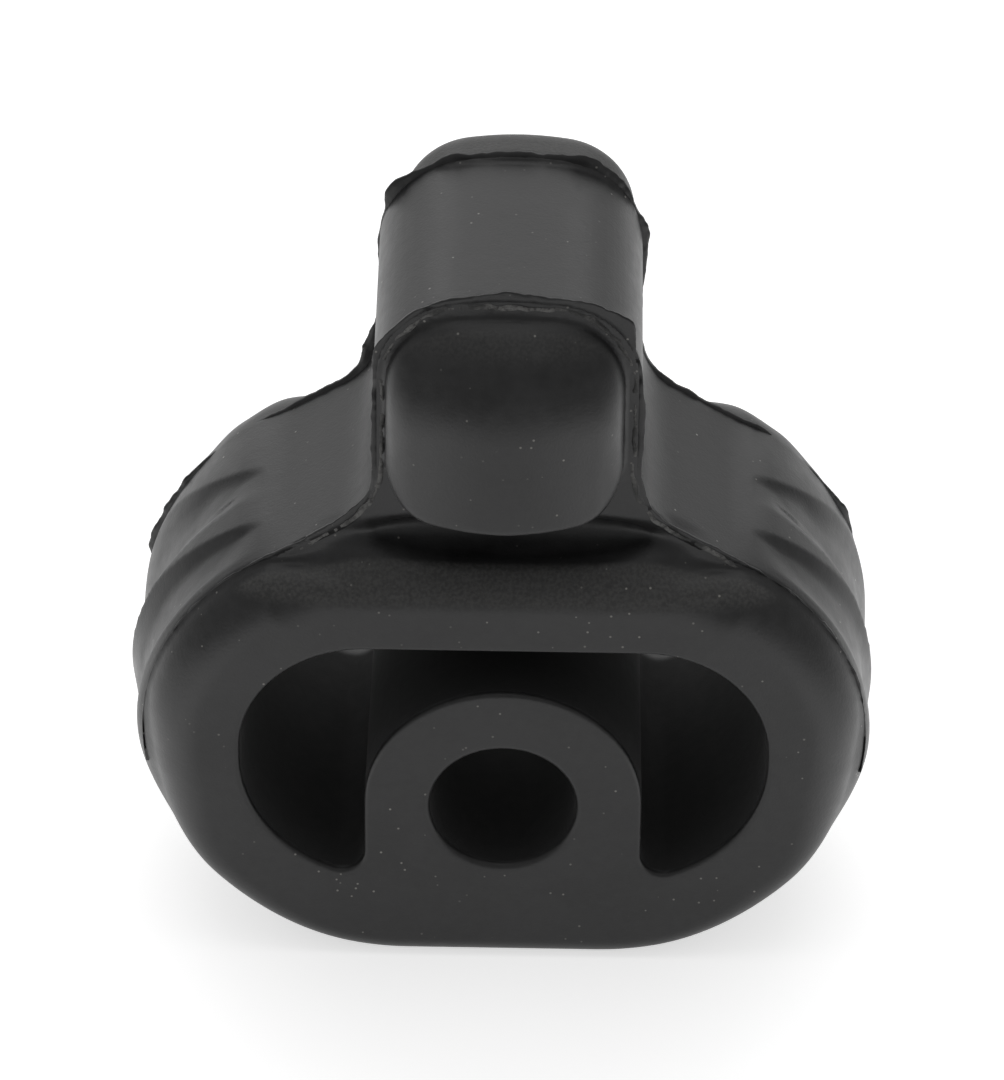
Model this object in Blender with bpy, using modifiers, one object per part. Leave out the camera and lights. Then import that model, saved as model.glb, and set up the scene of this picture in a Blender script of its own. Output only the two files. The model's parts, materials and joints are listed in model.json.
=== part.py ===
"""Rubber exhaust hanger, moulded in one piece.

A stadium shaped loop stands on its flat underside.  It has a round hole through a raised boss at
the bottom, a curved pocket over the boss, and a tall head on top with a rounded pad front and back.
X is across the hanger, Y runs along the hole with the front at minus Y, and Z is up.
"""
import bmesh
import bpy
import math
from mathutils import Vector

MM = 0.001

# Round ends on a flat underside, which most heights and widths below start from
END_RADIUS = 20.6 * MM
FLAT_HALF = 9.1 * MM
END_TOP = 2.0 * END_RADIUS
END_REACH = FLAT_HALF + END_RADIUS

# Waist, the slice between the two parting planes of the mould
WAIST_DEPTH = 20.0 * MM
WAIST_BULGE = 0.6 * MM
WAIST_SUNK = 0.6 * MM
WAIST_RIM_ROUND = 0.7 * MM
SHOULDER_SLOPE = math.radians(31.7)
FADE_FROM = math.radians(-40.0)
FADE_TO = math.radians(5.0)
NECK_FILLET = 6.4 * MM
HEAD_HALF = 10.7 * MM
HEAD_RISE = 23.0 * MM
HEAD_TOP = END_TOP + HEAD_RISE
HEAD_DROP = 0.9 * MM
HEAD_CORNER = 7.6 * MM

# Loop, which stands out in front of and behind the waist
LOOP_FRONT_PROUD = 3.5 * MM
LOOP_BACK_PROUD = 5.2 * MM
LOOP_RADIUS_MORE = 0.8 * MM
LOOP_FLAT_LESS = 1.2 * MM
LOOP_TOP_BELOW = 2.9 * MM
LOOP_RADIUS = END_RADIUS + LOOP_RADIUS_MORE
LOOP_FLAT_HALF = FLAT_HALF - LOOP_FLAT_LESS
LOOP_TOP = END_TOP - LOOP_TOP_BELOW
LOOP_TOP_CORNER = 6.5 * MM
LOOP_FRONT_ROUND = 2.6 * MM
LOOP_BACK_ROUND = 4.8 * MM

# Pads on the front and back of the head
PAD_PROUD = 5.2 * MM
PAD_INSET = 1.35 * MM
PAD_HALF = HEAD_HALF - PAD_INSET
PAD_BOTTOM_ABOVE = 3.4 * MM
PAD_BOTTOM = END_TOP + PAD_BOTTOM_ABOVE
PAD_BOTTOM_SAG = 0.5 * MM
FRONT_PAD_TOP_SAG = 0.7 * MM
BACK_PAD_TOP_SAG = 1.6 * MM
PAD_CORNER_LOW = 4.2 * MM
PAD_CORNER_HIGH = 6.4 * MM
FRONT_PAD_BELOW = 2.0 * MM
BACK_PAD_ABOVE = 0.2 * MM
FRONT_PAD_TOP = HEAD_TOP - FRONT_PAD_BELOW
BACK_PAD_TOP = HEAD_TOP + BACK_PAD_ABOVE
FRONT_PAD_TOP_ROUND = 8.4 * MM
BACK_PAD_EDGE_ROUND = 3.0 * MM
PAD_SIDE_ROUND = 5.6 * MM
PAD_SIDE_TURN = math.radians(55.0)

# Thin ridges of rubber left by the mould at the two parting planes
RIDGE_THICK = 0.5 * MM
RIDGE_PROUD = 0.4 * MM
RIDGE_HEAD_PROUD = 0.8 * MM
RIDGE_STEP_IN = 0.02 * MM

# Round hole through the boss
HOLE_RADIUS = 6.0 * MM
HOLE_LOWER = 4.8 * MM
HOLE_HEIGHT = END_RADIUS - HOLE_LOWER
HOLE_LEAD_IN = 0.5 * MM
BOSS_WALL = 5.4 * MM
BOSS_HALF = HOLE_RADIUS + BOSS_WALL
BOSS_RAISED = 0.4 * MM
BOSS_CENTRE = HOLE_HEIGHT + BOSS_RAISED

# Pocket over the boss
SIDE_WALL = 8.1 * MM
TOP_BAR = 6.4 * MM
POCKET_HALF = END_REACH - SIDE_WALL
POCKET_TOP = LOOP_TOP - TOP_BAR
POCKET_LOWER = 0.1 * MM
POCKET_CENTRE = END_RADIUS - POCKET_LOWER
POCKET_UPRIGHT = 1.1 * MM
POCKET_CORNER_HIGH = POCKET_TOP - POCKET_CENTRE - POCKET_UPRIGHT
POCKET_CORNER_LOW = 12.25 * MM
POCKET_DRAFT = 0.5 * MM
POCKET_FLOOR_RISE = 1.1 * MM
LOBE_RADIUS = 1.9 * MM

# Crescent grooves, two on each round end, which turn in from the skin between two angles
GROOVE_FROM = math.radians(60.0)
GROOVE_TO = math.radians(4.0)
GROOVE_SPARE_TURN = math.radians(2.0)
GROOVE_DEPTH = 1.3 * MM
GROOVE_INSET = 3.2 * MM
GROOVE_PITCH = 8.2 * MM
GROOVE_NEAR_RUN = 1.7 * MM
GROOVE_FAR_RUN = 3.8 * MM
GROOVE_END_TRIM = 0.1 * MM

# Steps in the rounded lines
END_STEPS = 44
CORNER_STEPS = 9
SMALL_STEPS = 5
RIM_STEPS = 2
HOLE_STEPS = 64
WHEEL_STEPS = 320

# Welding, shading and how far the cutters run past what they cut
WELD = 0.01 * MM
FLAT_ANGLE = math.radians(0.2)
ROUND_ANGLE = math.radians(60.0)
SMOOTH_ANGLE = math.radians(32.0)
OVERLAP = 2.0 * MM
CUT_REACH = 20.0 * MM

# Turns that stand a drawn outline up, each with the outline's first axis across the view
FACING_FRONT = (math.radians(90.0), 0.0, 0.0)
FACING_SIDE = (math.radians(90.0), 0.0, math.radians(90.0))
FACING_UP = (0.0, 0.0, 0.0)

RUBBER_COLOUR = (0.022, 0.022, 0.024, 1.0)
RUBBER_ROUGHNESS = 0.55

NODE = "hanger_body"
PARTS = "exhaust_hanger"
CUTTERS = "cutters"


def arc(centre, radius, start, end, steps):
    """Points on an arc, from one angle in radians to another."""
    points = []
    for index in range(steps + 1):
        angle = start + (end - start) * index / steps
        points.append((centre[0] + radius * math.cos(angle), centre[1] + radius * math.sin(angle)))
    return points


def rounded(corners):
    """An open line through corners (x, z, radius, steps), each corner turned into an arc."""
    points = [(corners[0][0], corners[0][1])]
    for before, corner, after in zip(corners, corners[1:], corners[2:]):
        here = Vector((corner[0], corner[1]))
        back = (Vector((before[0], before[1])) - here).normalized()
        ahead = (Vector((after[0], after[1])) - here).normalized()
        half = back.angle(ahead) / 2.0
        radius = corner[2]
        centre = here + (back + ahead).normalized() * (radius / math.sin(half))
        first = here + back * (radius / math.tan(half)) - centre
        last = here + ahead * (radius / math.tan(half)) - centre
        start = math.atan2(first.y, first.x)
        turn = math.atan2(last.y, last.x) - start
        turn = (turn + math.pi) % (2.0 * math.pi) - math.pi
        points += arc(centre, radius, start, start + turn, corner[3])
    points.append((corners[-1][0], corners[-1][1]))
    return points


def mirrored(half):
    """Close a right-hand half line that starts and ends on the middle plane."""
    return half + [(-x, z) for x, z in reversed(half[1:-1])]


def waist_outline(proud, head_proud, sunk):
    """Outline of the waist, or of a ridge, proud of the parting line above and sunk from it below."""
    lean = math.pi / 2.0 - SHOULDER_SLOPE
    top_radius = END_RADIUS + proud
    low_radius = END_RADIUS - sunk
    foot = math.pi / 2.0
    half = [(0.0, sunk)]
    for index in range(END_STEPS + 1):
        angle = -foot + (lean + foot) * index / END_STEPS
        share = (angle - FADE_FROM) / (FADE_TO - FADE_FROM)
        share = min(1.0, max(0.0, share))
        radius = low_radius + (top_radius - low_radius) * share
        half.append((FLAT_HALF + radius * math.cos(angle), END_RADIUS + radius * math.sin(angle)))
    touch_x, touch_z = half[-1]
    head = HEAD_HALF + proud / 2.0
    top = HEAD_TOP + head_proud
    rise = math.tan(SHOULDER_SLOPE)
    neck = rounded([
        (touch_x, touch_z, 0.0, 0),
        (head, touch_z + (touch_x - head) * rise, NECK_FILLET, CORNER_STEPS),
        (head, top - HEAD_DROP, HEAD_CORNER, CORNER_STEPS),
        (0.0, top, 0.0, 0),
    ])
    half += neck[1:]
    return mirrored(half)


def loop_outline():
    """Outline of the loop that stands out in front of and behind the waist."""
    radius = LOOP_RADIUS
    middle = LOOP_RADIUS
    reach = radius - LOOP_TOP_CORNER
    rise = LOOP_TOP - LOOP_TOP_CORNER - middle
    across = math.sqrt(reach ** 2 - rise ** 2)
    touch = math.atan2(rise, across)
    half = [(0.0, 0.0)]
    half += arc((LOOP_FLAT_HALF, middle), radius, -math.pi / 2.0, touch, END_STEPS)
    top_centre = (LOOP_FLAT_HALF + across, middle + rise)
    half += arc(top_centre, LOOP_TOP_CORNER, touch, math.pi / 2.0, SMALL_STEPS)[1:]
    half.append((0.0, LOOP_TOP))
    return mirrored(half)


def pocket_outline():
    """Outline of the pocket that curves over the boss."""
    half = rounded([
        (0.0, POCKET_TOP, 0.0, 0),
        (POCKET_HALF, POCKET_TOP, POCKET_CORNER_HIGH, CORNER_STEPS),
        (POCKET_HALF, POCKET_CENTRE, 0.0, 0),
    ])
    low = (POCKET_HALF - POCKET_CORNER_LOW, POCKET_CENTRE)
    lobe_x = BOSS_HALF + LOBE_RADIUS
    reach = POCKET_CORNER_LOW - LOBE_RADIUS
    lobe_z = POCKET_CENTRE - math.sqrt(reach ** 2 - (lobe_x - low[0]) ** 2)
    touch = math.atan2(lobe_z - low[1], lobe_x - low[0])
    half += arc(low, POCKET_CORNER_LOW, 0.0, touch, CORNER_STEPS)[1:]
    half += arc((lobe_x, lobe_z), LOBE_RADIUS, touch, -math.pi, SMALL_STEPS)[1:]
    half += arc((0.0, BOSS_CENTRE), BOSS_HALF, 0.0, math.pi / 2.0, CORNER_STEPS + SMALL_STEPS)
    return mirrored(half)


def pad_front_outline(top, sag):
    """Outline of a pad seen from the front."""
    half = rounded([
        (0.0, PAD_BOTTOM, 0.0, 0),
        (PAD_HALF, PAD_BOTTOM + PAD_BOTTOM_SAG, PAD_CORNER_LOW, SMALL_STEPS),
        (PAD_HALF, top - sag, PAD_CORNER_HIGH, CORNER_STEPS),
        (0.0, top, 0.0, 0),
    ])
    return mirrored(half)


def front_pad_side_outline():
    """Outline of the front pad seen from the side: depth from the middle plane, then height."""
    top = FRONT_PAD_TOP
    top_round = FRONT_PAD_TOP_ROUND
    root = WAIST_DEPTH / 2.0
    face = root + PAD_PROUD
    turn = math.acos(1.0 - PAD_PROUD / top_round)
    low_z = top - top_round * math.sin(turn)
    line = [(root - OVERLAP, PAD_BOTTOM - OVERLAP), (face, PAD_BOTTOM - OVERLAP)]
    line += arc((face - top_round, low_z), top_round, 0.0, turn, CORNER_STEPS)
    line.append((root - OVERLAP, top))
    return line


def front_pad_plan_outline():
    """Outline of the front pad seen from above: across, then depth from the middle plane."""
    root = WAIST_DEPTH / 2.0
    face = root + PAD_PROUD
    flat = PAD_HALF - PAD_SIDE_ROUND * math.sin(PAD_SIDE_TURN)
    curve = arc((flat, face - PAD_SIDE_ROUND), PAD_SIDE_ROUND, math.pi / 2.0,
                math.pi / 2.0 - PAD_SIDE_TURN, SMALL_STEPS + 1)
    half = [(0.0, face)] + curve
    half.append((PAD_HALF + OVERLAP, curve[-1][1] - OVERLAP * math.tan(PAD_SIDE_TURN)))
    half.append((PAD_HALF + OVERLAP, root - OVERLAP))
    half.append((0.0, root - OVERLAP))
    return mirrored(half)


def prism(name, outline, near, far, turn, collection):
    """A solid made by drawing a closed outline along its own normal from near to far."""
    curve = bpy.data.curves.new(name, "CURVE")
    curve.dimensions = "2D"
    curve.fill_mode = "BOTH"
    curve.extrude = (far - near) / 2.0
    spline = curve.splines.new("POLY")
    spline.points.add(len(outline) - 1)
    for point, place in zip(spline.points, outline):
        point.co = (place[0], place[1], 0.0, 1.0)
    spline.use_cyclic_u = True
    drawn = bpy.data.objects.new(name + "_curve", curve)
    collection.objects.link(drawn)
    drawn.rotation_euler = turn
    drawn.location = drawn.rotation_euler.to_matrix() @ Vector((0.0, 0.0, (near + far) / 2.0))
    bpy.context.view_layer.update()
    graph = bpy.context.evaluated_depsgraph_get()
    mesh = bpy.data.meshes.new_from_object(drawn.evaluated_get(graph))
    solid = bpy.data.objects.new(name, mesh)
    solid.matrix_world = drawn.matrix_world.copy()
    collection.objects.link(solid)
    bpy.data.objects.remove(drawn, do_unlink=True)
    bpy.data.curves.remove(curve)
    weld(solid)
    return solid


def weld(solid):
    """Join doubled points, make each flat area one face and turn every face outward."""
    work = bmesh.new()
    work.from_mesh(solid.data)
    bmesh.ops.remove_doubles(work, verts=work.verts, dist=WELD)
    bmesh.ops.dissolve_limit(work, angle_limit=FLAT_ANGLE, verts=work.verts, edges=work.edges)
    bmesh.ops.recalc_face_normals(work, faces=work.faces)
    work.to_mesh(solid.data)
    work.free()


def lathe(name, profile, steps, place, collection):
    """A solid turned about the Y direction from a profile of (radius, depth) that ends on the axis."""
    mesh = bpy.data.meshes.new(name)
    work = bmesh.new()
    points = [work.verts.new((radius, 0.0, depth)) for radius, depth in profile]
    for one, two in zip(points, points[1:]):
        work.edges.new((one, two))
    work.to_mesh(mesh)
    work.free()
    solid = bpy.data.objects.new(name, mesh)
    collection.objects.link(solid)
    solid.rotation_euler = (math.radians(-90.0), 0.0, 0.0)
    solid.location = place
    screw = solid.modifiers.new("turn", "SCREW")
    screw.axis = "Z"
    screw.angle = 2.0 * math.pi
    screw.steps = steps
    screw.render_steps = steps
    screw.use_merge_vertices = True
    screw.merge_threshold = WELD
    settle(solid)
    weld(solid)
    return solid


def settle(solid):
    """Put the result of a part's modifiers into its mesh."""
    bpy.context.view_layer.update()
    graph = bpy.context.evaluated_depsgraph_get()
    mesh = bpy.data.meshes.new_from_object(solid.evaluated_get(graph))
    old = solid.data
    solid.modifiers.clear()
    solid.data = mesh
    bpy.data.meshes.remove(old)


def combine(solid, other, operation):
    """Join, cut or keep the overlap with another solid, which is then removed."""
    step = solid.modifiers.new(operation.lower(), "BOOLEAN")
    step.operation = operation
    step.solver = "EXACT"
    step.object = other
    settle(solid)
    mesh = other.data
    bpy.data.objects.remove(other, do_unlink=True)
    bpy.data.meshes.remove(mesh)


def round_edges(solid, width, steps):
    """Round the two rims of a solid drawn along its own normal."""
    bevel = solid.modifiers.new("round", "BEVEL")
    bevel.width = width
    bevel.segments = steps
    bevel.limit_method = "ANGLE"
    bevel.angle_limit = ROUND_ANGLE
    bevel.use_clamp_overlap = False
    settle(solid)


def round_rims(solid, front_width, back_width, steps):
    """Round the front and back rims of a solid drawn along its own normal, each by its own width."""
    widest = max(front_width, back_width)
    mesh = solid.data
    weights = mesh.attributes.new("bevel_weight_edge", "FLOAT", "EDGE")
    front = max(vert.co.z for vert in mesh.vertices)
    back = min(vert.co.z for vert in mesh.vertices)
    for edge in mesh.edges:
        heights = [mesh.vertices[index].co.z for index in edge.vertices]
        if min(heights) > front - WELD:
            weights.data[edge.index].value = front_width / widest
        elif max(heights) < back + WELD:
            weights.data[edge.index].value = back_width / widest
    bevel = solid.modifiers.new("round", "BEVEL")
    bevel.width = widest
    bevel.segments = steps
    bevel.limit_method = "WEIGHT"
    bevel.use_clamp_overlap = False
    settle(solid)


def draft_pocket(pocket):
    """Narrow the pocket's cutter and raise its floor toward the back, so that the mould's core lets go."""
    work = bmesh.new()
    work.from_mesh(pocket.data)
    back = min(vert.co.z for vert in work.verts)
    share = 1.0 - POCKET_DRAFT / POCKET_HALF
    for vert in work.verts:
        if vert.co.z < back + WELD:
            vert.co.x *= share
            vert.co.y = POCKET_TOP + (vert.co.y - POCKET_TOP) * share
            below = max(0.0, POCKET_CENTRE - vert.co.y)
            vert.co.y += POCKET_FLOOR_RISE * below / POCKET_CORNER_LOW
    bmesh.ops.triangulate(work, faces=work.faces)
    work.to_mesh(pocket.data)
    work.free()


def apply_place(solid):
    """Write a part's position and turn into its mesh."""
    solid.data.transform(solid.matrix_world)
    solid.matrix_world.identity()
    bpy.context.view_layer.update()


def make_front_pad(collection):
    """The pad on the front: its outline, its side profile and its plan, kept where they overlap."""
    root = WAIST_DEPTH / 2.0
    line = pad_front_outline(FRONT_PAD_TOP, FRONT_PAD_TOP_SAG)
    face = root + PAD_PROUD
    pad = prism("front_pad", line, root - OVERLAP / 2.0, face + OVERLAP, FACING_FRONT, collection)
    profile = [(-depth, height) for depth, height in front_pad_side_outline()]
    width = PAD_HALF + OVERLAP
    combine(pad, prism("front_pad_profile", profile, -width, width, FACING_SIDE, collection), "INTERSECT")
    plan = [(across, -depth) for across, depth in front_pad_plan_outline()]
    low = PAD_BOTTOM - OVERLAP
    high = FRONT_PAD_TOP + OVERLAP
    combine(pad, prism("front_pad_plan", plan, low, high, FACING_UP, collection), "INTERSECT")
    return pad


def make_back_pad(collection):
    """The pad on the back, with its rim rounded all the way round."""
    root = WAIST_DEPTH / 2.0
    line = pad_front_outline(BACK_PAD_TOP, BACK_PAD_TOP_SAG)
    inner = root - BACK_PAD_EDGE_ROUND - OVERLAP
    pad = prism("back_pad", line, -(root + PAD_PROUD), -inner, FACING_FRONT, collection)
    round_edges(pad, BACK_PAD_EDGE_ROUND, SMALL_STEPS)
    return pad


def groove_cutter(name, side, collection):
    """What is taken from one round end: a slab less a wheel with two grooves' shapes on its rim."""
    middle = (GROOVE_FROM + GROOVE_TO) / 2.0
    half = (GROOVE_FROM - GROOVE_TO) / 2.0
    skin = END_RADIUS + WAIST_BULGE
    chord = skin * math.sin(half)
    bulge = skin * (1.0 - math.cos(half)) - GROOVE_DEPTH
    wheel_radius = (chord ** 2 + bulge ** 2) / (2.0 * bulge)
    inward = skin - GROOVE_DEPTH - wheel_radius
    centre_x = FLAT_HALF + inward * math.cos(middle)
    centre_z = END_RADIUS + inward * math.sin(middle)
    near_slope = GROOVE_DEPTH / GROOVE_NEAR_RUN
    far_slope = GROOVE_DEPTH / GROOVE_FAR_RUN
    rim = wheel_radius + OVERLAP
    near_valley = GROOVE_INSET - WAIST_DEPTH / 2.0
    far_valley = near_valley + GROOVE_PITCH
    crest_y = near_valley + GROOVE_PITCH * near_slope / (near_slope + far_slope)
    crest = wheel_radius + (crest_y - near_valley) * far_slope
    start_y = near_valley - OVERLAP / near_slope
    end_y = far_valley + OVERLAP / far_slope
    profile = [
        (0.0, start_y),
        (rim, start_y),
        (wheel_radius, near_valley),
        (crest, crest_y),
        (wheel_radius, far_valley),
        (rim, end_y),
        (0.0, end_y),
    ]
    wheel = lathe(name + "_wheel", profile, WHEEL_STEPS, (side * centre_x, 0.0, centre_z), collection)
    inner = END_RADIUS - 2.0 * OVERLAP
    outer = END_RADIUS + OVERLAP
    last = GROOVE_FROM + GROOVE_SPARE_TURN
    ring = arc((FLAT_HALF, END_RADIUS), outer, GROOVE_TO, last, CORNER_STEPS)
    ring += arc((FLAT_HALF, END_RADIUS), inner, last, GROOVE_TO, CORNER_STEPS)
    outline = [(side * x, z) for x, z in ring]
    near = GROOVE_END_TRIM - end_y
    far = -start_y - GROOVE_END_TRIM
    slab = prism(name, outline, near, far, FACING_FRONT, collection)
    combine(slab, wheel, "DIFFERENCE")
    return slab


def hole_cutter(collection):
    """The round hole with a lead-in at each end, which widens on past the face."""
    front = -(WAIST_DEPTH / 2.0 + LOOP_FRONT_PROUD)
    back = WAIST_DEPTH / 2.0 + LOOP_BACK_PROUD
    wide = HOLE_RADIUS + HOLE_LEAD_IN
    profile = [
        (0.0, front - OVERLAP),
        (wide + OVERLAP, front - OVERLAP),
        (HOLE_RADIUS, front + HOLE_LEAD_IN),
        (HOLE_RADIUS, back - HOLE_LEAD_IN),
        (wide + OVERLAP, back + OVERLAP),
        (0.0, back + OVERLAP),
    ]
    return lathe("hole_cut", profile, HOLE_STEPS, (0.0, 0.0, HOLE_HEIGHT), collection)


def make_rubber():
    """Matte black moulded rubber."""
    material = bpy.data.materials.new("black_rubber")
    material.use_nodes = True
    shader = material.node_tree.nodes["Principled BSDF"]
    shader.inputs["Base Color"].default_value = RUBBER_COLOUR
    shader.inputs["Roughness"].default_value = RUBBER_ROUGHNESS
    return material


def main():
    """Build the hanger as one solid."""
    for thing in list(bpy.data.objects):
        bpy.data.objects.remove(thing, do_unlink=True)
    scene = bpy.context.scene
    parts = bpy.data.collections.new(PARTS)
    scene.collection.children.link(parts)
    cutters = bpy.data.collections.new(CUTTERS)
    scene.collection.children.link(cutters)

    half_waist = WAIST_DEPTH / 2.0
    waist_line = waist_outline(WAIST_BULGE, 0.0, WAIST_SUNK)
    body = prism(NODE, waist_line, -half_waist, half_waist, FACING_FRONT, parts)
    round_edges(body, WAIST_RIM_ROUND, RIM_STEPS)
    apply_place(body)

    front_reach = half_waist + LOOP_FRONT_PROUD
    back_reach = half_waist + LOOP_BACK_PROUD
    loop = prism("loop", loop_outline(), -back_reach, front_reach, FACING_FRONT, cutters)
    round_rims(loop, LOOP_FRONT_ROUND, LOOP_BACK_ROUND, SMALL_STEPS)
    combine(body, loop, "UNION")

    combine(body, make_front_pad(cutters), "UNION")
    combine(body, make_back_pad(cutters), "UNION")

    combine(body, groove_cutter("right_grooves", 1, cutters), "DIFFERENCE")
    combine(body, groove_cutter("left_grooves", -1, cutters), "DIFFERENCE")

    ridge_line = waist_outline(RIDGE_PROUD, RIDGE_HEAD_PROUD, WAIST_SUNK)
    inner = half_waist - RIDGE_THICK
    outer = half_waist - RIDGE_STEP_IN
    for name, near, far in (("front_ridge", inner, outer), ("back_ridge", -outer, -inner)):
        combine(body, prism(name, ridge_line, near, far, FACING_FRONT, cutters), "UNION")

    pocket = prism("pocket_cut", pocket_outline(), -CUT_REACH, CUT_REACH, FACING_FRONT, cutters)
    draft_pocket(pocket)
    combine(body, pocket, "DIFFERENCE")
    combine(body, hole_cutter(cutters), "DIFFERENCE")

    weld(body)
    body.data.materials.clear()
    body.data.materials.append(make_rubber())
    for face in body.data.polygons:
        face.use_smooth = True
        face.material_index = 0
    body.data.set_sharp_from_angle(angle=SMOOTH_ANGLE)
    cutters.hide_render = True


main()
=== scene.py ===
"""Looks of a moulded rubber exhaust hanger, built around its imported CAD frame.

The rubber is described as one smooth form: a signed distance in millimetres, negative inside the
rubber.  Its skin is drawn as a fine mesh, and the torn flash along the two parting lines of the mould
is added as thin ragged fins.  X is across the hanger, Y runs along the hole with the front at minus Y,
and Z is up.
"""
import json
import logging
import math
from dataclasses import dataclass
from enum import Enum
from typing import Callable, Sequence, Union

import bpy
import numpy as np
from mathutils import Matrix, Vector

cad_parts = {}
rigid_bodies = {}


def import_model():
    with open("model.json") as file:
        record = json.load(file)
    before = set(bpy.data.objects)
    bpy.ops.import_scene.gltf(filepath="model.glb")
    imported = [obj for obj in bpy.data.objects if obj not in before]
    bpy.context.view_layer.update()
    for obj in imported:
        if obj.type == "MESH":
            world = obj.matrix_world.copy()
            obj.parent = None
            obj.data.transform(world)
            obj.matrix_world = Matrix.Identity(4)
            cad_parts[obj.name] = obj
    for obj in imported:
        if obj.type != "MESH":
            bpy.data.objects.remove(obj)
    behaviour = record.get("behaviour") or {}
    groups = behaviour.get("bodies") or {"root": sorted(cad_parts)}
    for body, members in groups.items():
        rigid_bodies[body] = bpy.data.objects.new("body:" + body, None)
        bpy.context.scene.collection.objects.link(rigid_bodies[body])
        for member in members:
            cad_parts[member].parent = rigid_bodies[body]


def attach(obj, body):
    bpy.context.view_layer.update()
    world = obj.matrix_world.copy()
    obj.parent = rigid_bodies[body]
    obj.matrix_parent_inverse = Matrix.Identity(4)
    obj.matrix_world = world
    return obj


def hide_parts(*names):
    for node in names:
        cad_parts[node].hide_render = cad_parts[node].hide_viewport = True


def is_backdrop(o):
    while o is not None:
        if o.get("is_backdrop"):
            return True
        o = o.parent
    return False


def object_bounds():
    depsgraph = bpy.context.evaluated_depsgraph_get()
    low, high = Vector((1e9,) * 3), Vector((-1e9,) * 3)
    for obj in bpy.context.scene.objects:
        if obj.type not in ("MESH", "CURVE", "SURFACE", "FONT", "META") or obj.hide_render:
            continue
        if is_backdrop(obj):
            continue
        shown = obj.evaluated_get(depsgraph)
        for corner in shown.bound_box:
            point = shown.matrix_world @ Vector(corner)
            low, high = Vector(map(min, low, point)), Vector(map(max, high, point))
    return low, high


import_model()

CAD_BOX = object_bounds()
BODY = "root"
NODE = "hanger_body"
MM = 0.001
CELL = 0.32
SKIN_LOW = (-32.0, -17.0, -1.5)
SKIN_HIGH = (32.0, 17.0, 66.5)
SKIN_ROUNDS = 3
MOST_TRIANGLES = 190000
WAVE_KNOTS = 4096
WAVE_START = 1000.0

log = logging.getLogger("exhaust_hanger")

Array = np.ndarray
Point = tuple[float, float]
Span = tuple[float, float]
Wave = tuple[float, float]
Values = Union[float, Array]


def arc(centre: Point, radius: float, start: float, end: float, steps: int) -> list[Point]:
    """Points on an arc, from one angle to another.

    Args:
        centre: middle of the arc, in millimetres.
        radius: its radius, in millimetres.
        start: first angle, in radians.
        end: last angle, in radians.
        steps: number of straight steps.

    Returns:
        The points, one more than the steps.
    """
    angles = [start + (end - start) * index / steps for index in range(steps + 1)]
    return [(centre[0] + radius * math.cos(a), centre[1] + radius * math.sin(a)) for a in angles]


def rounded(corners: Sequence[tuple[float, float, float]], steps: int) -> list[Point]:
    """An open line whose inner corners are turned into arcs.

    Args:
        corners: x, z and the arc's radius of each corner, in millimetres.
        steps: number of straight steps in each arc.

    Returns:
        The points of the line.
    """
    points = [corners[0][:2]]
    for before, corner, after in zip(corners, corners[1:], corners[2:]):
        here = Vector(corner[:2])
        back = (Vector(before[:2]) - here).normalized()
        ahead = (Vector(after[:2]) - here).normalized()
        half = back.angle(ahead) / 2.0
        centre = here + (back + ahead).normalized() * (corner[2] / math.sin(half))
        first = here + back * (corner[2] / math.tan(half)) - centre
        last = here + ahead * (corner[2] / math.tan(half)) - centre
        start = math.atan2(first.y, first.x)
        turn = (math.atan2(last.y, last.x) - start + math.pi) % (2.0 * math.pi) - math.pi
        points += arc(tuple(centre), corner[2], start, start + turn, steps)
    points.append(corners[-1][:2])
    return points


def mirrored(half: list[Point]) -> list[Point]:
    """A closed outline from its right half, which starts and ends on the middle plane."""
    return half + [(-x, z) for x, z in reversed(half[1:-1])]


def join(one: Values, two: Values, radius: Values) -> Array:
    """Two forms joined, with a concave fillet of that radius between them."""
    corner = np.hypot(np.maximum(radius - one, 0.0), np.maximum(radius - two, 0.0))
    return np.maximum(radius, np.minimum(one, two)) - corner


def overlap(one: Values, two: Values, radius: Values) -> Array:
    """What two forms share, with its edge rolled over at that radius."""
    corner = np.hypot(np.maximum(radius + one, 0.0), np.maximum(radius + two, 0.0))
    return np.minimum(-radius, np.maximum(one, two)) + corner


def ramp(value: Values, start: float, end: float) -> Array:
    """A smooth step from 0 at start to 1 at end."""
    share = np.clip((value - start) / (end - start), 0.0, 1.0)
    return share * share * (3.0 - 2.0 * share)


def bump(value: Values, middle: float, width: float) -> Array:
    """A smooth hump that is 1 at its middle and dies away over about its width."""
    return np.exp(-((value - middle) / width) ** 2)


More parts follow.
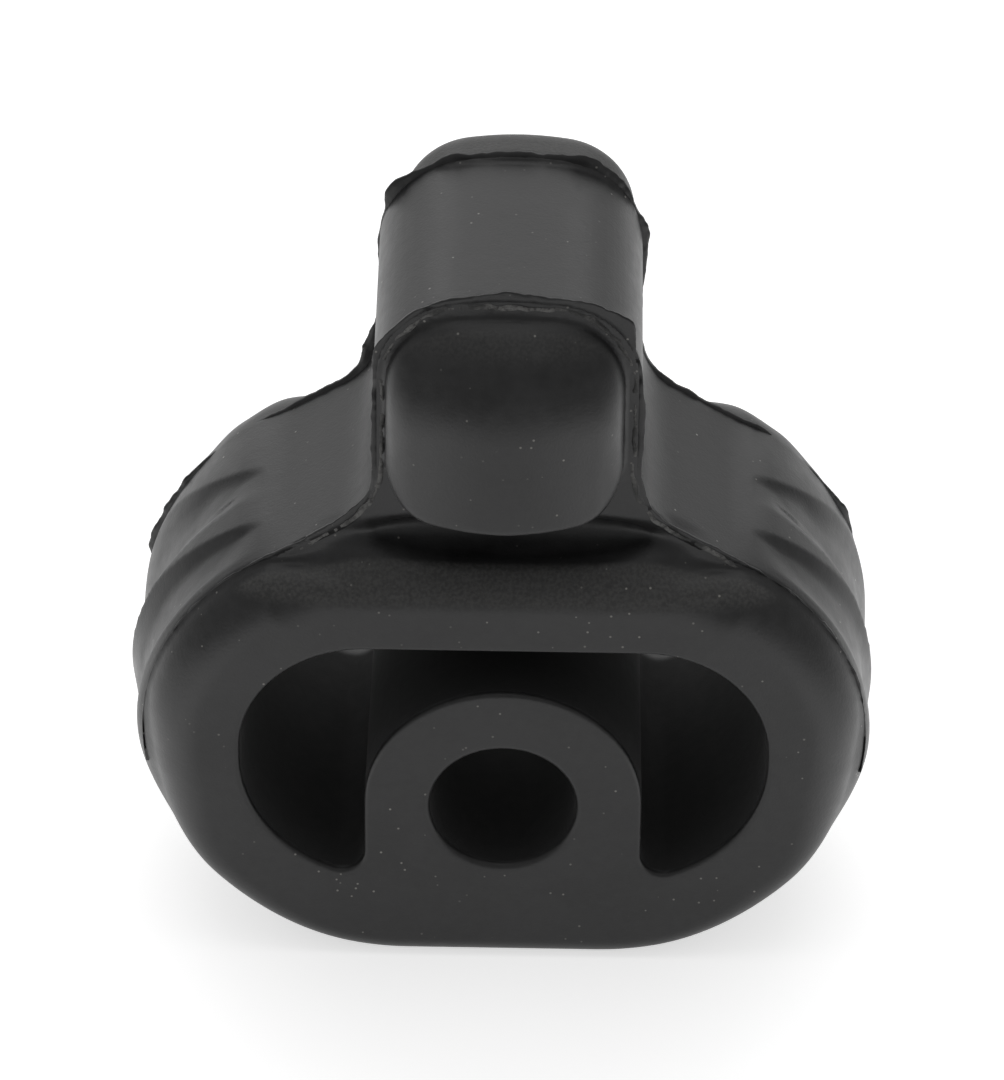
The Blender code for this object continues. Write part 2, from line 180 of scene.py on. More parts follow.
class OutlineField:
    """Signed distance from a closed outline in the front view, kept on a fine grid."""

    STEP = 0.15
    LOW = (-34.0, -4.0)
    HIGH = (34.0, 69.0)

    def __init__(self, outline: Sequence[Point]) -> None:
        """Measure the distance from every grid point to the outline.

        Args:
            outline: the corners of the closed outline, in millimetres.
        """
        across = np.arange(self.LOW[0], self.HIGH[0] + self.STEP, self.STEP, dtype=np.float32)
        height = np.arange(self.LOW[1], self.HIGH[1] + self.STEP, self.STEP, dtype=np.float32)
        x, z = np.meshgrid(across, height, indexing="ij")
        nearest = np.full(x.shape, 1e9, dtype=np.float32)
        inside = np.zeros(x.shape, dtype=bool)
        for (ax, az), (bx, bz) in zip(outline, [*outline[1:], outline[0]]):
            ex, ez = bx - ax, bz - az
            share = np.clip(((x - ax) * ex + (z - az) * ez) / max(ex * ex + ez * ez, 1e-12), 0.0, 1.0)
            nearest = np.minimum(nearest, (x - ax - share * ex) ** 2 + (z - az - share * ez) ** 2)
            if az != bz:
                crosses = ((az > z) != (bz > z)) & (x < ex * (z - az) / ez + ax)
                inside ^= crosses
        distance = np.sqrt(nearest)
        self.values = np.where(inside, -distance, distance)

    def __call__(self, x: Values, z: Values) -> Array:
        """The distance, read between the grid's points.

        Args:
            x, z: the points in the front view, in millimetres.

        Returns:
            The signed distance, negative inside the outline.
        """
        column = np.clip((x - self.LOW[0]) / self.STEP, 0.0, self.values.shape[0] - 1.001)
        row = np.clip((z - self.LOW[1]) / self.STEP, 0.0, self.values.shape[1] - 1.001)
        column, row = np.broadcast_arrays(column, row)
        i, k = column.astype(int), row.astype(int)
        u, v = column - i, row - k
        low = self.values[i, k] * (1.0 - u) + self.values[i + 1, k] * u
        high = self.values[i, k + 1] * (1.0 - u) + self.values[i + 1, k + 1] * u
        return low * (1.0 - v) + high * v


@dataclass(frozen=True)
class RoundEnd:
    """The round end that the loop and the waist turn about, on the right-hand side."""

    radius: float = 20.6
    flat_half: float = 9.1

    @property
    def top(self) -> float:
        """Height of the round end's top."""
        return 2.0 * self.radius

    def angle(self, x: Values, z: Values) -> Array:
        """Angle round the nearer end's centre, in degrees above the level."""
        return np.degrees(np.arctan2(z - self.radius, np.maximum(np.abs(x) - self.flat_half, 1e-6)))


@dataclass
class Waist:
    """The middle slice between the two parting lines, with the head on top and the crescent grooves.

    Spans in degrees are angles round an end, over which a shape comes in or fades out.
    """

    end: RoundEnd = RoundEnd()
    half_depth: float = 10.0
    bulge: float = 0.75
    bulge_start: Span = (-38.0, 8.0)
    bulge_end: Span = (52.0, 66.0)
    edge_bulge: float = 0.1
    left_bulge: float = 0.7
    left_middle: float = 9.0
    left_width: float = 19.0
    left_side: Span = (-20.0, -10.0)
    sunk: float = 1.2
    sunk_end: Span = (-42.0, -4.0)
    slope: float = 31.7
    neck_fillet: float = 6.4
    head_half: float = 10.7
    head_rise: float = 23.2
    head_drop: float = 1.1
    head_corner: float = 7.6
    head_crown: float = 38.0
    rim_round: float = 0.25
    low_round: float = 1.0
    low_round_end: Span = (-5.0, 22.0)
    groove_depth: float = 1.35
    groove_deeper: float = 0.25
    groove_top: float = 61.0
    groove_start: Span = (0.0, 20.0)
    groove_deepens: Span = (20.0, 38.0)
    groove_widens: Span = (0.0, 46.0)
    groove_foot: Span = (-16.0, 14.0)
    valleys: tuple[float, float] = (-5.7, 1.7)
    near_run: float = 3.0
    far_runs: tuple[float, float] = (4.3, 6.6)
    first_run: float = 0.7
    valley_soft: float = 0.05
    crest_soft: float = 0.02
    fade_depth: float = 0.12
    steps: int = 64

    @property
    def head_top(self) -> float:
        """Height of the head's top at the middle."""
        return self.end.top + self.head_rise

    def outline(self) -> list[Point]:
        """The parting line, seen from the front.

        Returns:
            The corners of the closed outline, from the middle of the underside.
        """
        radius = self.end.radius
        lean = math.radians(90.0 - self.slope)
        half = [(0.0, 0.0)]
        half += arc((self.end.flat_half, radius), radius, -math.pi / 2.0, lean, self.steps)
        x, z = half[-1]
        neck_z = z + (x - self.head_half) * math.tan(math.radians(self.slope))
        half += rounded([
            (x, z, 0.0),
            (self.head_half, neck_z, self.neck_fillet),
            (self.head_half, self.head_top - self.head_drop, self.head_corner),
            (0.0, self.head_top, self.head_crown),
            (-self.head_half, self.head_top - self.head_drop, 0.0),
        ], self.steps // 4)[1:]
        return mirrored([point for point in half if point[0] > -1e-6])

    def groove(self, x: Values, y: Values, z: Values) -> Array:
        """Depth of the crescent grooves below the skin.

        Args:
            x, y, z: the points, in millimetres.

        Returns:
            The depth, in millimetres, which is nothing outside the grooves.
        """
        angle = self.end.angle(x, z)
        below = self.groove_top - angle
        depth = self.groove_depth + self.groove_deeper * ramp(below, *self.groove_deepens)
        valley = depth * ramp(below, *self.groove_start) * ramp(angle, *self.groove_foot)
        deepest = 0.0
        crest = self.valleys[0] - self.near_run
        for middle, last_run in zip(self.valleys, self.far_runs):
            away = y - middle
            near_run = np.minimum(self.near_run, middle - crest)
            far_run = self.first_run + (last_run - self.first_run) * ramp(below, *self.groove_widens)
            crest = middle + far_run
            wall = np.where(away < 0.0, -away / near_run, away / far_run)
            cut = valley * (1.0 - np.hypot(wall, self.valley_soft) + self.valley_soft)
            deepest = np.maximum(deepest, 0.5 * (cut + np.hypot(cut, self.crest_soft) - self.crest_soft))
        return deepest * ramp(valley, 0.0, self.fade_depth)

    def field(self, x: Values, y: Values, z: Values, line: Array) -> Array:
        """Signed distance of the waist.

        Args:
            x, y, z: the points, in millimetres.
            line: signed distance from the parting line in the front view.

        Returns:
            The signed distance, in millimetres.
        """
        angle = self.end.angle(x, z)
        crown = self.edge_bulge + (1.0 - self.edge_bulge) * (1.0 - (np.abs(y) / self.half_depth) ** 3)
        side = ramp(angle, *self.bulge_start) * (1.0 - ramp(angle, *self.bulge_end))
        left = (1.0 - ramp(x, *self.left_side)) * bump(angle, self.left_middle, self.left_width)
        swell = (self.bulge * side + self.left_bulge * left) * crown
        sink = self.sunk * (1.0 - ramp(angle, *self.sunk_end))
        skin = line - swell + sink + self.groove(x, y, z)
        low = 1.0 - ramp(angle, *self.low_round_end)
        return overlap(skin, np.abs(y) - self.half_depth, self.rim_round + self.low_round * low)


@dataclass
class Loop:
    """The loop that stands out in front of and behind the waist, on its flat underside.

    Spans are angles round an end, in degrees, over which a shape comes in or fades out.
    """

    end: RoundEnd = RoundEnd()
    front: float = 13.5
    back: float = 15.2
    radius_more: float = 0.8
    flat_less: float = 1.2
    top_below: float = 2.9
    front_corner: float = 6.5
    back_corner: float = 11.5
    back_rise: float = 0.6
    front_round: float = 2.7
    shoulder_round: float = 4.6
    foot_round: float = 1.9
    back_round: float = 5.8
    back_top_round: float = 4.4
    flat_top: Span = (58.0, 75.0)
    back_free: Span = (36.0, 52.0)
    back_top: Span = (50.0, 62.0)
    tuck_start: Span = (-2.0, 16.0)
    tuck_out: float = 0.6
    tuck_out_end: Span = (15.0, 42.0)
    tuck_inset: float = 0.05
    tuck_round: float = 0.6
    foot: Span = (-80.0, -45.0)
    wide: Span = (-40.0, -10.0)
    steps: int = 60

    @property
    def top(self) -> float:
        """Height of the loop's top."""
        return self.end.top - self.top_below

    def outline(self, corner: float, more: float = 0.0) -> list[Point]:
        """The loop's outline, seen from the front.

        Args:
            corner: radius where the round end meets the top, in millimetres.
            more: how much higher the top is, in millimetres.

        Returns:
            The corners of the closed outline, from the middle of the underside.
        """
        radius = self.end.radius + self.radius_more
        reach = radius - corner
        top = self.top + more
        rise = top - corner - radius
        across = math.sqrt(reach ** 2 - rise ** 2)
        touch = math.atan2(rise, across)
        middle = self.end.flat_half - self.flat_less
        half = [(0.0, 0.0)]
        half += arc((middle, radius), radius, -math.pi / 2.0, touch, self.steps)
        half += arc((middle + across, radius + rise), corner, touch, math.pi / 2.0, self.steps // 4)[1:]
        half.append((0.0, top))
        return mirrored(half)

    def field(self, x: Values, y: Values, z: Values, waist_line: Array, near_line: Array,
              far_line: Array) -> Array:
        """Signed distance of the loop, whose front half stays within the waist's edge on the shoulders.

        Args:
            x, y, z: the points, in millimetres.
            waist_line: signed distance from the waist's outline.
            near_line: signed distance from the front half's outline.
            far_line: signed distance from the back half's outline.

        Returns:
            The signed distance, in millimetres.
        """
        angle = self.end.angle(x, z)
        flat_top = ramp(angle, *self.flat_top)
        free = np.where(y < 0.0, flat_top, ramp(angle, *self.back_free))
        tuck = ramp(angle, *self.tuck_start) * (1.0 - free)
        line = np.where(y < 0.0, near_line, far_line)
        out = line - self.tuck_out * (1.0 - ramp(angle, *self.tuck_out_end))
        line = line + tuck * (overlap(out, waist_line - self.tuck_inset, self.tuck_round) - line)
        foot = 1.0 - ramp(angle, *self.foot)
        wide = ramp(angle, *self.wide) * (1.0 - flat_top)
        near_round = self.front_round + (self.shoulder_round - self.front_round) * wide
        near = overlap(line, -y - self.front, near_round + (self.foot_round - self.front_round) * foot)
        far_round = self.back_round + (self.back_top_round - self.back_round) * ramp(angle, *self.back_top)
        far = overlap(line, y - self.back, far_round)
        return np.where(y < 0.0, near, far)


class PadShape(Enum):
    """How a pad's face meets its sides."""

    PILLOW = "pillow"
    ROLLED = "rolled"


@dataclass
class Pad:
    """A pad on the front or the back of the head."""

    root: float
    bottom: float
    top: float
    shape: PadShape = PadShape.PILLOW
    half: float = 9.5
    shift: float = 0.0
    proud: float = 5.2
    bottom_sag: float = 0.5
    top_sag: float = 0.7
    corner_low: float = 4.2
    corner_high: float = 6.4
    crown: float = 24.0
    top_round: float = 11.5
    top_edge: float = 2.0
    top_edge_run: float = 1.6
    side_round: float = 19.0
    side_edge: float = 2.6
    side_edge_run: float = 2.2
    top_step: float = 0.15
    edge_round: float = 0.6
    sunk_in: float = 0.3
    steps: int = 16

    def outline(self) -> list[Point]:
        """The pad's outline, seen from the front."""
        half = rounded([
            (-self.half, self.bottom + self.bottom_sag, 0.0),
            (0.0, self.bottom, self.crown),
            (self.half, self.bottom + self.bottom_sag, self.corner_low),
            (self.half, self.top - self.top_sag, self.corner_high),
            (0.0, self.top, self.crown),
            (-self.half, self.top - self.top_sag, 0.0),
        ], self.steps)
        return mirrored([point for point in half if point[0] > -1e-6])

    def field(self, x: Values, depth: Values, z: Values, line: Array) -> Array:
        """Signed distance of the pad.

        Args:
            x: place across, in millimetres.
            depth: distance out from the middle plane, in millimetres.
            z: height, in millimetres.
            line: signed distance from the pad's outline in the front view.

        Returns:
            The signed distance, in millimetres.
        """
        out = depth - self.root - self.proud
        if self.shape is PadShape.PILLOW:
            turn = math.acos(1.0 - (self.proud - self.top_step) / self.top_round)
            low = self.top - self.top_round * math.sin(turn)
            out = out + self.sink(z - low, self.top_round) + self.sink(np.abs(x), self.side_round)
            out = out + self.sink(z - self.top + self.top_edge_run, self.top_edge)
            out = out + self.sink(np.abs(x) - self.half + self.side_edge_run, self.side_edge)
        pad = overlap(line, out, self.edge_round)
        return np.maximum(pad, self.root - self.sunk_in - depth)

    @staticmethod
    def sink(past: Values, radius: float) -> Array:
        """How far a round of that radius has fallen away, at a distance past its start."""
        past = np.clip(past, 0.0, 0.98 * radius)
        return radius - np.sqrt(radius ** 2 - past ** 2)


@dataclass
class Pocket:
    """The opening that curves over the boss, and the round hole through the boss."""

    end: RoundEnd = RoundEnd()
    hole_radius: float = 6.0
    hole_lower: float = 4.8
    boss_wall: float = 5.4
    boss_raised: float = 0.4
    side_wall: float = 8.1
    top_bar: float = 6.4
    loop_top: float = 38.3
    lower: float = 0.1
    upright: float = 1.1
    corner_low: float = 12.25
    lobe: float = 1.9
    draft: float = 0.5
    floor_rise: float = 1.1
    rim_round: float = 0.3
    hole_round: float = 0.55
    steps: int = 20

    @property
    def hole_height(self) -> float:
        """Height of the hole's centre."""
        return self.end.radius - self.hole_lower

    @property
    def top(self) -> float:
        """Height of the pocket's top."""
        return self.loop_top - self.top_bar

    def outline(self) -> list[Point]:
        """The pocket's outline at the front."""
        half_width = self.end.flat_half + self.end.radius - self.side_wall
        centre = self.end.radius - self.lower
        half = rounded([
            (0.0, self.top, 0.0),
            (half_width, self.top, self.top - centre - self.upright),
            (half_width, centre, 0.0),
        ], self.steps)
        boss_half = self.hole_radius + self.boss_wall
        low_x = half_width - self.corner_low
        lobe_x = boss_half + self.lobe
        lobe_z = centre - math.sqrt((self.corner_low - self.lobe) ** 2 - (lobe_x - low_x) ** 2)
        touch = math.atan2(lobe_z - centre, lobe_x - low_x)
        half += arc((low_x, centre), self.corner_low, 0.0, touch, self.steps)[1:]
        half += arc((lobe_x, lobe_z), self.lobe, touch, -math.pi, self.steps)[1:]
        boss = (0.0, self.hole_height + self.boss_raised)
        half += arc(boss, boss_half, 0.0, math.pi / 2.0, self.steps)
        return mirrored(half)

    def front_view(self, x: Values, z: Values, share: Values) -> tuple[Array, Array]:
        """Where a point inside the tapered pocket lies on its front outline.

        Args:
            x, z: the points in the front view, in millimetres.
            share: how far back the point lies, from 0 at the front to 1 at the back.

        Returns:
            The place across and the height on the front outline.
        """
        centre = self.end.radius - self.lower
        below = np.maximum(centre - z, 0.0)
        z = z - below / (1.0 - self.floor_rise * share / self.corner_low) + below
        shrink = 1.0 - self.draft * share / (self.end.flat_half + self.end.radius - self.side_wall)
        return x / shrink, self.top + (z - self.top) / shrink

    def hole(self, x: Values, z: Values) -> Array:
        """Signed distance from the round hole's wall."""
        return np.hypot(x, z - self.hole_height) - self.hole_radius


@dataclass(frozen=True)
class Recess:
    """The flat hollow between the front pad's underside and the loop's top."""

    middle: tuple[float, float, float] = (0.5, -9.6, 40.9)
    reach: tuple[float, float, float] = (11.6, 2.1, 2.0)
    edge_round: float = 1.0

    def field(self, x: Values, y: Values, z: Values) -> Array:
        """Signed distance from the hollow's wall, close to the wall."""
        size = sum(((value - middle) / reach) ** 2
                   for value, middle, reach in zip((x, y, z), self.middle, self.reach))
        return (np.sqrt(size) - 1.0) * min(self.reach)


@dataclass
class RubberForm:
    """The whole moulded rubber as one signed distance."""

    pad_lift: float = 3.4
    front_pad_below: float = 1.6
    back_pad_above: float = 0.45
    web_round: float = 0.35
    side_web_more: float = 0.9
    side_web_end: Span = (-5.0, 20.0)
    cove_more: float = 3.0
    cove_across: Span = (11.0, 18.0)
    cove_height: Span = (33.0, 37.0)
    front_pad_join: float = 0.2
    back_pad_join: float = 0.5

    def __post_init__(self) -> None:
        """Draw the outlines that the form is made of."""
        self.end = RoundEnd()
        self.waist = Waist()
        self.loop = Loop()
        self.pocket = Pocket()
        self.recess = Recess()
        root, bottom, top = self.waist.half_depth, self.end.top + self.pad_lift, self.waist.head_top
        self.front_pad = Pad(root, bottom, top - self.front_pad_below, shift=-0.2)
        self.back_pad = Pad(root, bottom, top + self.back_pad_above, PadShape.ROLLED, shift=0.5,
                            top_sag=1.3, edge_round=3.2)
        self.waist_line = OutlineField(self.waist.outline())
        self.near_loop = OutlineField(self.loop.outline(self.loop.front_corner))
        self.far_loop = OutlineField(self.loop.outline(self.loop.back_corner, self.loop.back_rise))
        self.front_line = OutlineField(self.front_pad.outline())
        self.back_line = OutlineField(self.back_pad.outline())
        self.pocket_line = OutlineField(self.pocket.outline())

    def __call__(self, x: Values, y: Values, z: Values) -> Array:
        """Signed distance of the rubber.

        Args:
            x, y, z: the points, in millimetres.

        Returns:
            The signed distance, negative inside the rubber.
        """
        waist_line = self.waist_line(x, z)
        waist = self.waist.field(x, y, z, waist_line)
        loop = self.loop.field(x, y, z, waist_line, self.near_loop(x, z), self.far_loop(x, z))
        side = 1.0 - ramp(self.end.angle(x, z), *self.side_web_end)
        above = (1.0 - ramp(np.abs(x), *self.cove_across)) * ramp(z, *self.cove_height)
        form = join(waist, loop, self.web_round + self.cove_more * above + self.side_web_more * side)
        across = x - self.front_pad.shift
        front = self.front_pad.field(across, -y, z, self.front_line(across, z))
        across = x - self.back_pad.shift
        back = self.back_pad.field(across, y, z, self.back_line(across, z))
        form = overlap(form, -self.recess.field(x, y, z), self.recess.edge_round)
        form = join(join(form, front, self.front_pad_join), back, self.back_pad_join)
        share = np.clip((y + self.loop.front) / (self.loop.front + self.loop.back), 0.0, 1.0)
        pocket = self.pocket_line(*self.pocket.front_view(x, z, share))
        form = overlap(form, -pocket, self.pocket.rim_round)
        return overlap(form, -self.pocket.hole(x, z), self.pocket.hole_round)


class Skin:
    """Draws the skin of a form as a mesh of near-even four-sided faces."""

    PULLS = 2
    LONGEST_PULL = 0.3
    LEAST_STEEP = 0.25

    def __init__(self, form: Callable[[Values, Values, Values], Array], cell: float) -> None:
        """Keep the form and the size of one face.

        Args:
            form: signed distance of the solid, in millimetres.
            cell: length of one face, in millimetres.
        """
        self.form = form
        self.cell = cell

    def draw(self, low: Sequence[float], high: Sequence[float]) -> tuple[Array, Array]:
        """Find the skin inside a box.

        Args:
            low: lowest corner of the box, in millimetres.
            high: highest corner of the box, in millimetres.

        Returns:
            The points and the four corners of each face.
        """
        axes = [np.arange(a, b + self.cell, self.cell) for a, b in zip(low, high)]
        values = self.form(axes[0][:, None, None], axes[1][None, :, None], axes[2][None, None, :])
        values = np.broadcast_to(values, [len(a) for a in axes])
        inside = values < 0.0
        shape = np.array(values.shape)
        stride = np.array([shape[1] * shape[2], shape[2], 1])
        cells, places, corners = [], [], []
        for axis in range(3):
            first = [slice(None)] * 3
            second = [slice(None)] * 3
            first[axis] = slice(None, -1)
            second[axis] = slice(1, None)
            leaves = inside[tuple(first)] != inside[tuple(second)]
            at = np.stack(np.nonzero(leaves), axis=1)
            one = values[tuple(first)][leaves]
            two = values[tuple(second)][leaves]
            point = np.stack([axes[n][at[:, n]] for n in range(3)], axis=1)
            point[:, axis] += self.cell * one / (one - two)
            right, up = (axis + 1) % 3, (axis + 2) % 3
            around = []
            for step_right, step_up in ((-1, -1), (0, -1), (0, 0), (-1, 0)):
                cell_at = at.copy()
                cell_at[:, right] += step_right
                cell_at[:, up] += step_up
                around.append(cell_at @ stride)
                cells.append(around[-1])
                places.append(point)
            quad = np.stack(around, axis=1)
            outward = one < 0.0
            quad[~outward] = quad[~outward][:, ::-1]
            corners.append(quad)
        names, where = np.unique(np.concatenate(cells), return_inverse=True)
        place = np.concatenate(places)
        count = np.bincount(where, minlength=len(names))
        points = np.stack([np.bincount(where, place[:, n], len(names)) / count for n in range(3)], axis=1)
        quads = np.searchsorted(names, np.concatenate(corners))
        return points, quads

    def slope(self, points: Array, reach: float = 0.01) -> tuple[Array, Array]:
        """Find how steeply the form rises.

        Args:
            points: where to look, in millimetres.
            reach: how far to look to each side, in millimetres.

        Returns:
            The form's value and its steepest direction at each point.
        """
        x, y, z = points.T
        value = self.form(x, y, z)
        steep = np.stack([
            self.form(x + reach, y, z) - self.form(x - reach, y, z),
            self.form(x, y + reach, z) - self.form(x, y - reach, z),
            self.form(x, y, z + reach) - self.form(x, y, z - reach),
        ], axis=1) / (2.0 * reach)
        return value, steep

    def settle(self, points: Array, quads: Array, rounds: int) -> Array:
        """Even out the points along the skin and pull them onto it.

        Args:
            points: the skin's points, in millimetres.
            quads: the corners of each face.
            rounds: how many times to even out.

        Returns:
            The points, on the skin.
        """
        ends = np.concatenate([quads, np.roll(quads, -1, axis=1)], axis=0)
        others = np.concatenate([np.roll(quads, -1, axis=1), quads], axis=0)
        count = np.bincount(ends.ravel(), minlength=len(points))[:, None]
        for _ in range(rounds):
            middle = np.stack([np.bincount(ends.ravel(), points[others.ravel(), n], len(points))
                               for n in range(3)], axis=1) / count
            points = (points + middle) / 2.0
            for _ in range(self.PULLS):
                value, steep = self.slope(points)
                length = np.maximum((steep ** 2).sum(axis=1), self.LEAST_STEEP)
                move = np.clip(value / length, -self.LONGEST_PULL, self.LONGEST_PULL)
                points = points - steep * move[:, None]
        return points


def thin_out(piece: bpy.types.Object, triangles: int) -> None:
    """Let flat areas have fewer faces, down to a number of triangles in all.

    Args:
        piece: the mesh piece.
        triangles: how many triangles may stay.
    """
    count = sum(len(face.vertices) - 2 for face in piece.data.polygons)
    if count <= triangles:
        return
    step = piece.modifiers.new("thin_out", "DECIMATE")
    step.ratio = triangles / count
    bpy.context.view_layer.update()
    graph = bpy.context.evaluated_depsgraph_get()
    mesh = bpy.data.meshes.new_from_object(piece.evaluated_get(graph))
    piece.modifiers.clear()
    piece.data = mesh


def make_piece(name: str, points: Array, faces: Array, material: bpy.types.Material) -> bpy.types.Object:
    """A shown piece from points in millimetres.

    Args:
        name: the piece's name.
        points: its points, in millimetres.
        faces: the corners of each face.
        material: its finish.

    Returns:
        The new object, which rides on the rubber's body.
    """
    mesh = bpy.data.meshes.new(name)
    mesh.from_pydata((points * MM).tolist(), [], faces.tolist())
    mesh.materials.append(material)
    mesh.polygons.foreach_set("use_smooth", np.ones(len(faces), dtype=bool))
    mesh.update()
    piece = bpy.data.objects.new(name, mesh)
    bpy.context.scene.collection.objects.link(piece)
    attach(piece, BODY)
    return piece


def tube(count: int, around: int, side: float) -> Array:
    """Four-sided faces between neighbouring rings of points.

    Args:
        count: how many rings there are.
        around: how many points each ring has.
        side: below 0 for the front of the hanger and above 0 for its back, which turns the faces round.

    Returns:
        The corners of each face.
    """
    first = np.arange(count - 1)[:, None] * around
    one = first + np.arange(around)
    two = first + (np.arange(around) + 1) % around
    faces = np.stack([one, two, two + around, one + around], axis=2).reshape(-1, 4)
    return faces if side < 0.0 else faces[:, ::-1]


def waves(place: Array, length: float, seed: int) -> Array:
    """Smooth random waves along a line, between minus 1 and 1.

    Args:
        place: distance along the line, in millimetres.
        length: length of one wave, in millimetres.
        seed: number that fixes the waves.

    Returns:
        The height of the waves at each place.
    """
    knots = np.random.default_rng(seed).uniform(-1.0, 1.0, WAVE_KNOTS)
    at = place / length + WAVE_START
    low = np.floor(at).astype(int)
    share = at - low
    share = share * share * (3.0 - 2.0 * share)
    return knots[low % WAVE_KNOTS] * (1.0 - share) + knots[(low + 1) % WAVE_KNOTS] * share


def rough_line(place: Array, seed: int, *kinds: Wave) -> Array:
    """Random waves of several lengths, laid over each other.

    Args:
        place: distance along the line, in millimetres.
        seed: number that fixes the first waves; each further kind takes the next number.
        kinds: the height and the length of each kind of wave, in millimetres.

    Returns:
        The height of all the waves together at each place.
    """
    return sum(height * waves(place, length, seed + step) for step, (height, length) in enumerate(kinds))


@dataclass(frozen=True)
class PartingLine:
    """Places along the parting line, both ways from the head's top."""

    x: Array
    z: Array
    out_x: Array
    out_z: Array

    @classmethod
    def followed(cls, line: Sequence[Point], place: Array) -> "PartingLine":
        """Find places on a closed outline.

        Args:
            line: the closed parting line, from the middle of the underside.
            place: distances along the line from the head's top, in millimetres.

        Returns:
            The places, and at each the direction that points out of the rubber.
        """
        corners = np.array([*line, line[0]])
        along = np.concatenate([[0.0], np.cumsum(np.hypot(*np.diff(corners, axis=0).T))])
        x = np.interp(place + along[-1] / 2.0, along, corners[:, 0])
        z = np.interp(place + along[-1] / 2.0, along, corners[:, 1])
        dx, dz = np.gradient(x), np.gradient(z)
        size = np.hypot(dx, dz)
        return cls(x, z, dz / size, -dx / size)

    def swept(self, plane: float, ring: Sequence[tuple[Values, Values]]) -> Array:
        """Sweep a ring of points along the line.

        Args:
            plane: place of the parting plane along the hole, in millimetres.
            ring: each point's distance out of the rubber, and away from the plane and the waist.

        Returns:
            The points, ring after ring.
        """
        side = math.copysign(1.0, plane)
        rows = [np.stack([self.x + self.out_x * far, np.broadcast_to(plane + side * away, self.x.shape),
                          self.z + self.out_z * far], axis=1) for far, away in ring]
        return np.stack(rows, axis=1).reshape(-1, 3)


@dataclass(frozen=True)
class Tear:
    """A place where the flash stands out further, measured along the parting line from the head's top."""

    at: float
    rise: float
    before: float
    after: float
    lean: float = 0.0
    sharp: bool = False

    def height(self, place: Array) -> Array:
        """How far it stands out at each place, in millimetres."""
        away = place - self.at
        share = np.where(away < 0.0, 1.0 + away / self.before, 1.0 - away / self.after)
        return self.rise * (np.clip(share, 0.0, 1.0) if self.sharp else ramp(share, 0.0, 1.0))


@dataclass
class Flash:
    """The thin ragged fin that the mould leaves along one parting line."""

    name: str
    plane: float
    seed: int
    tears: Sequence[Tear]
    base: float = 0.12
    rough: float = 0.16
    ragged: tuple[Wave, ...] = ((1.0, 2.6), (0.55, 1.1), (0.22, 0.4))
    wander: tuple[Wave, ...] = ((0.07, 1.7), (0.05, 0.5))
    root: float = 0.7
    thick: float = 0.42
    tip: float = 0.26
    least_tip: float = 0.10
    least_rise: float = 0.02
    end_fade: float = 9.0
    end_sunk: float = 0.1
    reach: float = 62.0
    spacing: float = 0.12

    def make(self, line: Sequence[Point], material: bpy.types.Material) -> bpy.types.Object:
        """Draw the fin along the parting line.

        Args:
            line: the closed parting line, from the middle of the underside round by the right.
            material: its finish.

        Returns:
            The fin.
        """
        place = np.arange(-self.reach, self.reach, self.spacing)
        height = self.base + sum(tear.height(place) for tear in self.tears)
        lean = sum(tear.lean * tear.height(place) for tear in self.tears)
        ragged = rough_line(place, self.seed, *self.ragged)
        height = height + ragged * self.rough * (0.6 + np.minimum(height, 0.8))
        fade = ramp(self.reach - np.abs(place), 0.0, self.end_fade)
        height = np.maximum(height, self.least_rise) * fade - self.end_sunk * (1.0 - fade)
        wander = rough_line(place, self.seed + len(self.ragged), *self.wander)
        tip = np.maximum(self.least_tip, self.tip - 0.1 * height)
        ring = [
            (-self.root, -0.02),
            (0.2 * height, 0.0),
            (0.8 * height, -0.6 * lean - 0.5 * wander),
            (height, -lean - wander - 0.03),
            (height - 0.03, -lean - wander - tip),
            (0.6 * height, -0.4 * lean - 0.4 * wander - 0.7 * self.thick),
            (-0.1, -self.thick),
            (-self.root, -self.thick - 0.1),
        ]
        points = PartingLine.followed(line, place).swept(self.plane, ring)
        faces = tube(len(place), len(ring), self.plane)
        piece = make_piece(self.name, points, faces, material)
        log.info("%s: %d faces", self.name, len(faces))
        return piece


@dataclass
class TornLip:
    """The pale torn strip that trimming the flash leaves on the flat face beside the parting line."""

    name: str
    plane: float
    seed: int
    reach: float = 62.0
    inset: float = 0.75
    inset_less: float = 0.25
    side_from: Span = (14.0, 26.0)
    proud: float = 0.14
    top_proud: float = 0.17
    top_width: float = 15.0
    wide: float = 0.20
    sunk: float = 0.25
    spacing: float = 0.12

    def make(self, line: Sequence[Point], material: bpy.types.Material) -> bpy.types.Object:
        """Draw the strip.

        Args:
            line: the closed parting line.
            material: its finish.

        Returns:
            The strip.
        """
        place = np.arange(-self.reach, self.reach, self.spacing)
        inset = self.inset - self.inset_less * ramp(np.abs(place), *self.side_from)
        inset += rough_line(place, self.seed, (0.16, 3.1), (0.10, 0.8))
        proud = self.proud * rough_line(place, self.seed + 2, (1.0, 4.5), (0.8, 1.2))
        proud += 0.05 * waves(place, 0.3, self.seed + 4) + self.top_proud * bump(place, 0.0, self.top_width)
        wide = self.wide + 0.12 * waves(place, 0.9, self.seed + 5)
        ring = [(-inset - wide - 0.1, -self.sunk), (-inset - 0.5 * wide, proud),
                (-inset + 0.5 * wide, proud * 0.8), (-inset + wide + 0.1, -self.sunk)]
        points = PartingLine.followed(line, place).swept(self.plane, ring)
        piece = make_piece(self.name, points, tube(len(place), len(ring), self.plane), material)
        log.info("%s: %d faces", self.name, len(piece.data.polygons))
        return piece


